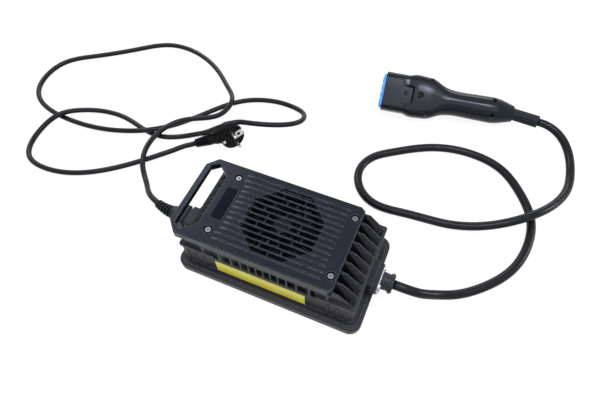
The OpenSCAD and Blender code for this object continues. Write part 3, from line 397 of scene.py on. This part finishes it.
def grip_profile(half_v, half_w, power, inset):
    """Half a section from seam to seam, with a small groove along the outside of each seam."""
    v, w = half_v - inset, half_w - inset
    angle = np.radians(np.linspace(SEAM_ANGLE, 180 - SEAM_ANGLE, PROFILE_POINTS))
    across = v * np.sign(np.cos(angle)) * np.abs(np.cos(angle)) ** power
    height = w * np.sin(angle) ** power
    edge = v if inset else v - GROOVE
    across = np.concatenate([[edge, v], across, [-v, -edge]])
    height = np.concatenate([[SEAM_GAP, GROOVE], height, [GROOVE, SEAM_GAP]])
    return np.stack([across, height], axis=1)


def grip_height(u, v):
    """The outer surface's height over the seam."""
    stations = np.array(GRIP, float)
    half_v, half_w, power = (np.interp(u, stations[:, 0], stations[:, k]) for k in (1, 2, 3))
    return half_w * (1 - (abs(v) / half_v) ** (2 / power)) ** (power / 2)


def skin_faces(first, rows, width):
    """Faces between open rows of points, the first of which is given."""
    corners = ((0, 0), (0, 1), (1, 1), (1, 0))
    return [
        tuple(first + (i + di) * width + k + dk for di, dk in corners)
        for i in range(rows - 1)
        for k in range(width - 1)
    ]


def make_shell(name, side):
    """One half of the handle: outer skin, inner skin, closed front, open rear for the boot."""
    stations = smooth(GRIP, GRIP_STEP)
    inner_start = GRIP[0][0] + SHELL_WALL
    outer, inner = (
        [
            [(u, v, side * w) for v, w in grip_profile(half_v, half_w, min(power, 1.0), inset)]
            for u, half_v, half_w, power in rows
        ]
        for inset, rows in ((0, stations), (SHELL_WALL, stations[stations[:, 0] > inner_start]))
    )
    width = len(outer[0])
    start = len(outer) * width
    outer_last, inner_last = start - width, start + (len(inner) - 1) * width
    faces = skin_faces(0, len(outer), width) + skin_faces(start, len(inner), width)
    faces.append(tuple(range(width)))
    faces.append(tuple(range(start, start + width)))
    for k in range(width - 1):
        faces.append((outer_last + k, outer_last + k + 1, inner_last + k + 1, inner_last + k))
    seam = [i * width for i in range(len(outer))]
    seam += [start + i * width for i in reversed(range(len(inner)))]
    seam += [start + i * width + width - 1 for i in range(len(inner))]
    seam += [i * width + width - 1 for i in reversed(range(len(outer)))]
    faces.append(tuple(seam))
    points = [p for ring in outer + inner for p in ring]
    shell = new_mesh(name, placed(CONNECTOR, points), faces)
    settle(shell.data)
    return shell


def bore_shell(shell):
    """Gives the upper shell its screw bosses and holes, and the notch for the housing's tongue."""
    bosses = [
        (u, v, d / 2 + BOSS_WALL, BOSS_BOTTOM, grip_height(u, v) - BOSS_UNDER_SKIN) for u, v, d in GRIP_SCREWS
    ]
    holes = [(u, v, d / 2, SCREW_SEAT, OVER_W) for u, v, d in GRIP_SCREWS]
    carve(shell, "UNION", *posts(bosses))
    carve(shell, "DIFFERENCE", *posts(holes))
    carve(shell, "DIFFERENCE", *slab(NOTCH_U, NOTCH_V, NOTCH_W, NOTCH_CORNER))
    settle(shell.data)


def make_housing():
    """A block with rails either side of a recess, and a tongue that reaches under the upper shell."""
    front = [(FACE_U, FACE_CHAMFER), (FACE_U + FACE_CHAMFER, 0)]
    rear = [(SEAM_U - SEAM_CHAMFER, 0), (SEAM_U, SEAM_CHAMFER)]
    points, faces = bar(HOUSING_HALF, HOUSING_CORNER, front + rear)
    housing = new_mesh("connector_shell", placed(CONNECTOR, points), faces)
    settle(housing.data)
    recess_w = (RECESS_W, OVER_HOUSING_W)
    holes = [(HOUSING_SCREW_U, 0, r, bottom, OVER_HOUSING_SCREW_W) for r, bottom in HOUSING_SCREW_HOLES]
    for operation, solid in (
        ("DIFFERENCE", slab(RECESS_U, RECESS_V, recess_w, RECESS_CORNER, RECESS_SLOPE)),
        ("DIFFERENCE", slab(CHANNEL_U, NOTCH_V, recess_w, CHANNEL_CORNER, CHANNEL_SLOPE)),
        ("UNION", slab(TONGUE_U, TONGUE_V, (TONGUE_BOTTOM_W, RECESS_W), TONGUE_CORNER)),
        ("DIFFERENCE", slab(SLOT_U, SLOT_V, (SLOT_BOTTOM_W, OVER_HOUSING_W), SLOT_CORNER)),
        ("DIFFERENCE", bar(POCKET_HALF, POCKET_CORNER, [(u, 0) for u in POCKET_U])),
        ("DIFFERENCE", posts(holes)),
    ):
        carve(housing, operation, *solid)
    settle(housing.data)
    return housing


def screw_head(u, v, seat, size):
    """A round head with a chamfered edge and a six-sided socket."""
    radius, height = size
    top = seat + height
    socket = radius * SOCKET_SHARE
    sixth = math.pi / 3
    rounds = [(radius, seat), (radius, top - HEAD_CHAMFER), (radius - HEAD_CHAMFER, top)]
    rings = [[(u + x, v + y, w) for x, y in circle(r)] for r, w in rounds]
    for w in (top, top - height * SOCKET_DEPTH_SHARE):
        ring = []
        for x, y in circle(socket):
            turn = (math.atan2(y, x) + sixth / 2) % sixth - sixth / 2
            ring.append((u + x / math.cos(turn), v + y / math.cos(turn), w))
        rings.append(ring)
    return loft(rings)


def make_screws():
    """The connector's six screws: one in the housing and five in the upper shell."""
    heads = [screw_head(HOUSING_SCREW_U, 0, HOUSING_SCREW_SEAT, HOUSING_HEAD)]
    for u, v, _ in GRIP_SCREWS:
        heads.append(screw_head(u, v, SCREW_SEAT, SIDE_HEAD if v else MIDDLE_HEAD))
    points, faces = join(heads)
    screws = new_mesh("grip_screws", placed(CONNECTOR, points), faces)
    settle(screws.data, sharp_angle=30)
    return screws


handle_top = make_shell("handle_shell_top", 1)
bore_shell(handle_top)
handle_bottom = make_shell("handle_shell_bottom", -1)
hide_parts("handle_upper")
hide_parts("handle_lower")
housing = make_housing()
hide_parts("connector_housing")
grip_screws = make_screws()
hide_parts("connector_screws")

output, output_length, output_line = make_cord(
    "output_lead", OUTPUT_ROUTE, OUTPUT_D, OUTPUT_STEP, OUTPUT_SIDES
)
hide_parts("output_cord")

# One of four foam strips in mm, which close the gap between fan and cover at the grille's slanting sides
SEAL_OUTLINE = [(19.2, 49), (19.2, 45.8), (45.8, 19.2), (49, 19.2), (49, 26), (26, 49)]
SEAL_Z = (80.25, 81.45)


def make_seal():
    """The foam strips, one strip turned into each quarter."""
    quarters = [Matrix.Rotation(quarter * math.pi / 2, 3, "Z") for quarter in range(4)]
    points, faces = join(
        loft([[turn @ Vector((x, y, z)) for x, y in SEAL_OUTLINE] for z in SEAL_Z]) for turn in quarters
    )
    seal = new_mesh("fan_seal", [p * MM for p in points], faces)
    settle(seal.data, sharp_angle=30)
    return seal


fan_seal = make_seal()

# Materials. Noise is given as features a metre, detail and roughness.
PATCHES = (38, 4, 0.6)
LABEL_PATCHES = (45, 4, 0.6)
SPECKS = (900, 2, 0.5)
CHIPS = (260, 3, 0.6)
BLOTCHES = (90, 5, 0.65)
SCRATCHES = (60, 6, 0.7)
SCRATCH_STRETCH = (1, 9, 1)
DUST_COLOUR = (0.35, 0.36, 0.38)
# The two limits between which most of a noise texture's values lie
NOISE_RANGE = (0.3, 0.7)
# The cosines at which an edge starts to take its wear colour and painted highlight, and takes them fully
WEAR_HIGHLIGHT_RANGE = (0.985, 0.80)
# The noise values at which chips, specks and scratches fade in
CHIP_RANGE = (0.35, 0.6)
SPECK_RANGE = (0.70, 0.78)
SCRATCH_RANGE = (0.60, 0.72)
# The share of edge wear and painted highlight that is left between the chips
LEAST_WEAR_HIGHLIGHT = 0.25
# How much roughness varies either way
ROUGH_SPREAD = 0.15
# An edge's colour, from the surface's own, where no other is given: lighter partly for wear and partly as a
# painted highlight
EDGE_WEAR_HIGHLIGHT_GAIN = 3
EDGE_WEAR_HIGHLIGHT_LIFT = 0.03


def new_material(name):
    """An empty node material and its tree."""
    mat = bpy.data.materials.new(name)
    mat.use_nodes = True
    mat.node_tree.nodes.clear()
    return mat, mat.node_tree


def add_node(tree, kind, inputs=(), **settings):
    """A shader node with its settings, and with its inputs linked to sockets or set to plain values."""
    node = tree.nodes.new("ShaderNode" + kind)
    for key, value in settings.items():
        setattr(node, key, value)
    for key, value in dict(inputs).items():
        if isinstance(value, bpy.types.NodeSocket):
            tree.links.new(value, node.inputs[key])
        else:
            node.inputs[key].default_value = value
    return node


def noise(tree, coord, kind, stretch=None):
    """A noise texture, drawn out along some axes where stretch says so."""
    scale, detail, rough = kind
    if stretch:
        coord = add_node(tree, "Mapping", {"Vector": coord, "Scale": stretch}).outputs["Vector"]
    inputs = {"Vector": coord, "Scale": scale, "Detail": detail, "Roughness": rough}
    return add_node(tree, "TexNoise", inputs).outputs["Fac"]


def span(tree, value, lo, hi, out_lo=0.0, out_hi=1.0):
    """Maps value from lo..hi to out_lo..out_hi, clamped."""
    inputs = {"Value": value, "From Min": lo, "From Max": hi, "To Min": out_lo, "To Max": out_hi}
    return add_node(tree, "MapRange", inputs).outputs["Result"]


def combine(tree, operation, a, b):
    """The result of a sum or product, kept between 0 and 1."""
    return add_node(tree, "Math", {0: a, 1: b}, operation=operation, use_clamp=True).outputs[0]


def mix(tree, factor, a, b):
    """A colour mix. Each of a and b is a socket or a plain colour."""
    node = add_node(tree, "Mix", data_type="RGBA")
    sockets = [s for s in node.inputs if s.enabled]
    for socket, value in zip(sockets, (factor, a, b)):
        if isinstance(value, bpy.types.NodeSocket):
            tree.links.new(value, socket)
        else:
            socket.default_value = (*value, 1)
    return [s for s in node.outputs if s.enabled][0]


def scaled(colour, factor):
    """A colour made lighter or darker."""
    return [min(1, c * factor) for c in colour]


def edges_worn_and_highlit(tree, coord, bevel, amount):
    """How much edge wear and painted edge highlight the surface takes: strong on edges, broken up, and
    nothing on flat faces.
    """
    normal = add_node(tree, "NewGeometry").outputs["Normal"]
    cosine = add_node(tree, "VectorMath", {0: bevel, 1: normal}, operation="DOT_PRODUCT").outputs["Value"]
    worn_and_highlit = span(tree, cosine, *WEAR_HIGHLIGHT_RANGE, 0, amount)
    breakup = span(tree, noise(tree, coord, CHIPS), *CHIP_RANGE, LEAST_WEAR_HIGHLIGHT, 1)
    return combine(tree, "MULTIPLY", worn_and_highlit, breakup)


def finish(
    name, colour, rough, metal=0.0, tone=0.15, grain=1800, bump=0.00004, edge=0.0, edge_r=0.0005,
    edge_wear_highlight_colour=None, specular=0.5, scuff=0.0, dust=0.0, sheen_tint=(1, 1, 1),
):
    """A moulded, painted or metal surface: tone patches, fine grain, edges lightened partly by wear and
    partly by a painted highlight, and scuffs.
    """
    mat, tree = new_material(name)
    coord = add_node(tree, "TexCoord").outputs["Object"]
    bevel = add_node(tree, "Bevel", {"Radius": edge_r}, samples=4).outputs["Normal"]
    patches = span(tree, noise(tree, coord, PATCHES), *NOISE_RANGE)
    base = mix(tree, patches, scaled(colour, 1 - tone), scaled(colour, 1 + tone))
    if dust:
        specks = span(tree, noise(tree, coord, SPECKS), *SPECK_RANGE, 0, dust)
        base = mix(tree, specks, base, DUST_COLOUR)
    # Lighter edges: partly real wear, partly a painted highlight where light would catch the rounded edges
    if edge:
        edge_wear_highlight_colour = edge_wear_highlight_colour or [min(1, c * EDGE_WEAR_HIGHLIGHT_GAIN + EDGE_WEAR_HIGHLIGHT_LIFT) for c in colour]
        base = mix(tree, edges_worn_and_highlit(tree, coord, bevel, edge), base, edge_wear_highlight_colour)
    blotches = noise(tree, coord, BLOTCHES)
    least, most = rough * (1 - ROUGH_SPREAD), min(1, rough * (1 + ROUGH_SPREAD))
    roughness = span(tree, blotches, *NOISE_RANGE, least, most)
    if scuff:
        scratches = noise(tree, coord, SCRATCHES, SCRATCH_STRETCH)
        roughness = combine(tree, "ADD", roughness, span(tree, scratches, *SCRATCH_RANGE, 0, scuff))
    grains = noise(tree, coord, (grain, 2, 0.6))
    bumps = add_node(tree, "Bump", {"Strength": 1.0, "Distance": bump, "Height": grains, "Normal": bevel})
    shader = tree.nodes.new("ShaderNodeBsdfPrincipled")
    shader.inputs["Metallic"].default_value = metal
    shader.inputs["Specular IOR Level"].default_value = specular
    shader.inputs["Specular Tint"].default_value = (*sheen_tint, 1)
    tree.links.new(base, shader.inputs["Base Color"])
    tree.links.new(roughness, shader.inputs["Roughness"])
    tree.links.new(bumps.outputs["Normal"], shader.inputs["Normal"])
    add_node(tree, "OutputMaterial", {"Surface": shader.outputs["BSDF"]})
    return mat


def two_tone(name, low, high, split, shade=0.93, blur=0.0001):
    """The side label: a paler upper strip over a stronger lower one, parted at a height."""
    mat = finish(name, high, 0.38, tone=0.05, grain=900, bump=0.00002)
    tree = mat.node_tree
    coord = add_node(tree, "TexCoord").outputs["Object"]
    height = add_node(tree, "SeparateXYZ", {0: coord}).outputs["Z"]
    upper = span(tree, height, split - blur, split + blur)
    patches = span(tree, noise(tree, coord, LABEL_PATCHES), *NOISE_RANGE)
    strong, pale = (mix(tree, patches, scaled(colour, shade), colour) for colour in (low, high))
    shader = next(x for x in tree.nodes if x.type == "BSDF_PRINCIPLED")
    tree.links.new(mix(tree, upper, strong, pale), shader.inputs["Base Color"])
    return mat


# Tints of the sheen: blue-grey on moulded pieces, weaker on paint and on the leads
TINT = (0.74, 0.83, 1.0)
PAINT_TINT = (0.85, 0.92, 1.0)
CORD_TINT = (0.85, 0.91, 1.0)
# Looks by material slot
looks = {
    # Each edge colour below, far lighter than its base, is partly wear and partly a painted highlight on the
    # edges
    "case_paint": finish(
        "case_paint", (0.0200, 0.0205, 0.0240), 0.40, grain=1500, bump=0.00003, edge=0.8, edge_r=0.001,
        edge_wear_highlight_colour=(0.145, 0.15, 0.17), specular=0.20, sheen_tint=PAINT_TINT,
    ),
    "cover_plastic": finish(
        "cover_plastic", (0.0042, 0.0054, 0.0100), 0.30, grain=1700, bump=0.00002, edge=0.7, edge_r=0.001,
        edge_wear_highlight_colour=(0.27, 0.285, 0.34), scuff=0.12, dust=0.2, specular=0.26, sheen_tint=TINT,
    ),
    "black_plastic": finish(
        "black_plastic", (0.0180, 0.0187, 0.0225), 0.36, edge=0.6, edge_r=0.0008,
        edge_wear_highlight_colour=(0.12, 0.125, 0.14), specular=0.2, sheen_tint=TINT,
    ),
    "handle_plastic": finish(
        "handle_plastic", (0.0060, 0.0065, 0.0090), 0.18, grain=2400, bump=0.00001, edge=0.3, dust=0.1,
        specular=0.25, sheen_tint=TINT,
    ),
    "inlay": finish(
        "inlay", (0.0032, 0.0044, 0.0095), 0.22, tone=0.3, bump=0.000004, specular=0.07, sheen_tint=TINT,
    ),
    "rubber": finish(
        "rubber", (0.0100, 0.0104, 0.0128), 0.40, grain=2200, bump=0.00004, edge=0.25, specular=0.16,
        edge_wear_highlight_colour=(0.045, 0.047, 0.055), sheen_tint=TINT,
    ),
    "cord_rubber": finish(
        "cord_rubber", (0.0058, 0.0060, 0.0080), 0.27, grain=2600, bump=0.00001, dust=0.15, specular=0.18,
        sheen_tint=CORD_TINT,
    ),
    "steel": finish("steel", (0.50, 0.51, 0.54), 0.32, metal=1, edge=0.2, edge_r=0.0003),
    "black_steel": finish(
        "black_steel", (0.0080, 0.0082, 0.0090), 0.38, edge=0.2, edge_r=0.0003, specular=0.08,
    ),
    "nickel": finish("nickel", (0.60, 0.58, 0.54), 0.30, metal=1, edge_r=0.0003),
    "brass": finish("brass", (0.72, 0.52, 0.24), 0.28, metal=1, edge_r=0.0003),
    "copper": finish("copper", (0.62, 0.25, 0.12), 0.35, metal=1, tone=0.2, edge_r=0.0003),
    "ferrite": finish("ferrite", (0.05, 0.05, 0.055), 0.7, tone=0.25, bump=0.0001),
    "board": finish("board", (0.015, 0.10, 0.035), 0.4),
    "blue_plastic": finish("blue_plastic", (0.012, 0.30, 0.95), 0.35, tone=0.08, grain=2000, bump=0.00002),
    "red_plastic": finish("red_plastic", (0.30, 0.02, 0.02), 0.4, tone=0.1),
    "label": two_tone("label", (0.74, 0.66, 0.03), (0.86, 0.80, 0.17), 0.0295),
}
# Looks of single nodes that differ from the rest of their slot
own_looks = {
    "plug_body": finish("plug_plastic", (0.0062, 0.0062, 0.0070), 0.36, edge=0.4, specular=0.08, dust=0.1),
    "cover_screws": finish("socket_steel", (0.22, 0.225, 0.24), 0.34, metal=1, tone=0.2, edge_r=0.0003),
    "fan_frame": finish("fan_frame", (0.0050, 0.0050, 0.0056), 0.5, edge=0.3, specular=0.06),
    "fan_impeller": finish(
        "fan_plastic", (0.0060, 0.0062, 0.0075), 0.22, bump=0.00001, edge=0.5, specular=0.15,
    ),
}
# Its edge colour is partly wear and partly a painted highlight on the edges
plug_rubber = finish(
    "plug_rubber", (0.0050, 0.0052, 0.0064), 0.34, grain=2200, bump=0.00003, edge=0.3, specular=0.12,
    edge_wear_highlight_colour=(0.03, 0.032, 0.038), sheen_tint=TINT,
)

for part in frame["record"]["subparts"]:
    mesh = nodes[part["node"]].data
    mesh.materials.clear()
    mesh.materials.append(own_looks.get(part["node"], looks[part["material_slot"]]))
for piece, look in (
    (plug_sleeve, plug_rubber),
    (mains, looks["cord_rubber"]),
    (output, looks["cord_rubber"]),
    (handle_top, looks["handle_plastic"]),
    (handle_bottom, looks["handle_plastic"]),
    (housing, looks["handle_plastic"]),
    (grip_screws, looks["black_steel"]),
    (fan_seal, looks["rubber"]),
):
    piece.data.materials.append(look)

# Floor, sky and lamps
WHITE = (1, 1, 1, 1)
FLOOR_HALF = 6.0
FLOOR_GREY = (0.08, 0.08, 0.08, 1)
SHADOW_GREY = (0.15, 0.15, 0.15, 1)
FLOOR_GLOW = 0.88
# How far up the sky starts and stops to brighten, and its strength there
SKY_HEIGHTS = (0.1, 0.9)
SKY_STRENGTHS = (0.07, 0.45)
# Name, place, point aimed at, size, watts, and whether shiny surfaces mirror it
LAMPS = [
    ("top_light", (0.23, -0.40, 1.52), (0.0, 0.15, 0.0), (2.2, 1.9), 15, True),
    ("key_light", (0.43, 0.05, 1.48), (0.1, 0.3, 0.0), (0.5, 0.12), 6, True),
    ("front_light", (0.15, -1.7, 1.0), (0.0, 0.1, 0.0), (1.6, 0.9), 17, False),
    ("left_light", (-1.12, 0.76, 1.16), (-0.06, 0.0, 0.08), (0.6, 0.5), 8, True),
    ("back_light", (-0.35, 1.72, 0.72), (0.0, 0.0, 0.08), (1.7, 0.35), 9, True),
    ("right_light", (1.25, 0.65, 0.55), (0.0, 0.0, 0.08), (0.4, 0.25), 5, True),
]


def show(tree, output_kind, seen, otherwise):
    """Shows one shader to the camera and in shiny and clear surfaces, and the other to all other rays."""
    path = add_node(tree, "LightPath").outputs
    direct = path["Is Camera Ray"]
    for ray in ("Is Glossy Ray", "Is Transmission Ray"):
        direct = combine(tree, "ADD", direct, path[ray])
    either = add_node(tree, "MixShader", {0: direct, 1: otherwise, 2: seen})
    add_node(tree, output_kind, {"Surface": either.outputs[0]})


def make_floor():
    """A plain floor. Where it is seen it glows, so that it is white and still takes a soft shadow."""
    mesh = bpy.data.meshes.new("floor")
    h = FLOOR_HALF
    mesh.from_pydata([(-h, -h, 0), (h, -h, 0), (h, h, 0), (-h, h, 0)], [], [(0, 1, 2, 3)])
    floor = bpy.data.objects.new("floor", mesh)
    scene.collection.objects.link(floor)
    mat, tree = new_material("floor_white")
    plain = add_node(tree, "BsdfDiffuse", {"Color": FLOOR_GREY}).outputs[0]
    faint = add_node(tree, "BsdfDiffuse", {"Color": SHADOW_GREY}).outputs[0]
    glow = add_node(tree, "Emission", {"Color": WHITE, "Strength": FLOOR_GLOW}).outputs[0]
    both = add_node(tree, "AddShader", {0: faint, 1: glow}).outputs[0]
    show(tree, "OutputMaterial", both, plain)
    mesh.materials.append(mat)


def make_world():
    """A pale sky, brighter overhead, and white where it is seen."""
    world = bpy.data.worlds.new("studio")
    world.use_nodes = True
    tree = world.node_tree
    tree.nodes.clear()
    direction = add_node(tree, "TexCoord").outputs["Generated"]
    up = add_node(tree, "SeparateXYZ", {0: direction}).outputs["Z"]
    strength = span(tree, up, *SKY_HEIGHTS, *SKY_STRENGTHS)
    sky = add_node(tree, "Background", {"Color": WHITE, "Strength": strength}).outputs[0]
    white = add_node(tree, "Background", {"Color": WHITE, "Strength": 1.0}).outputs[0]
    show(tree, "OutputWorld", white, sky)
    scene.world = world


def make_lamp(name, at, look_at, size, power, mirrored):
    """A rectangular lamp that the camera doesn't see."""
    data = bpy.data.lights.new(name, "AREA")
    data.shape = "RECTANGLE"
    data.size, data.size_y = size
    data.energy = power
    lamp = bpy.data.objects.new(name, data)
    scene.collection.objects.link(lamp)
    lamp.location = at
    lamp.rotation_euler = (Vector(look_at) - Vector(at)).to_track_quat("-Z", "Y").to_euler()
    lamp.visible_glossy = mirrored
    lamp.visible_camera = False


make_floor()
make_world()
for lamp in LAMPS:
    make_lamp(*lamp)
scene.view_settings.view_transform = "Standard"
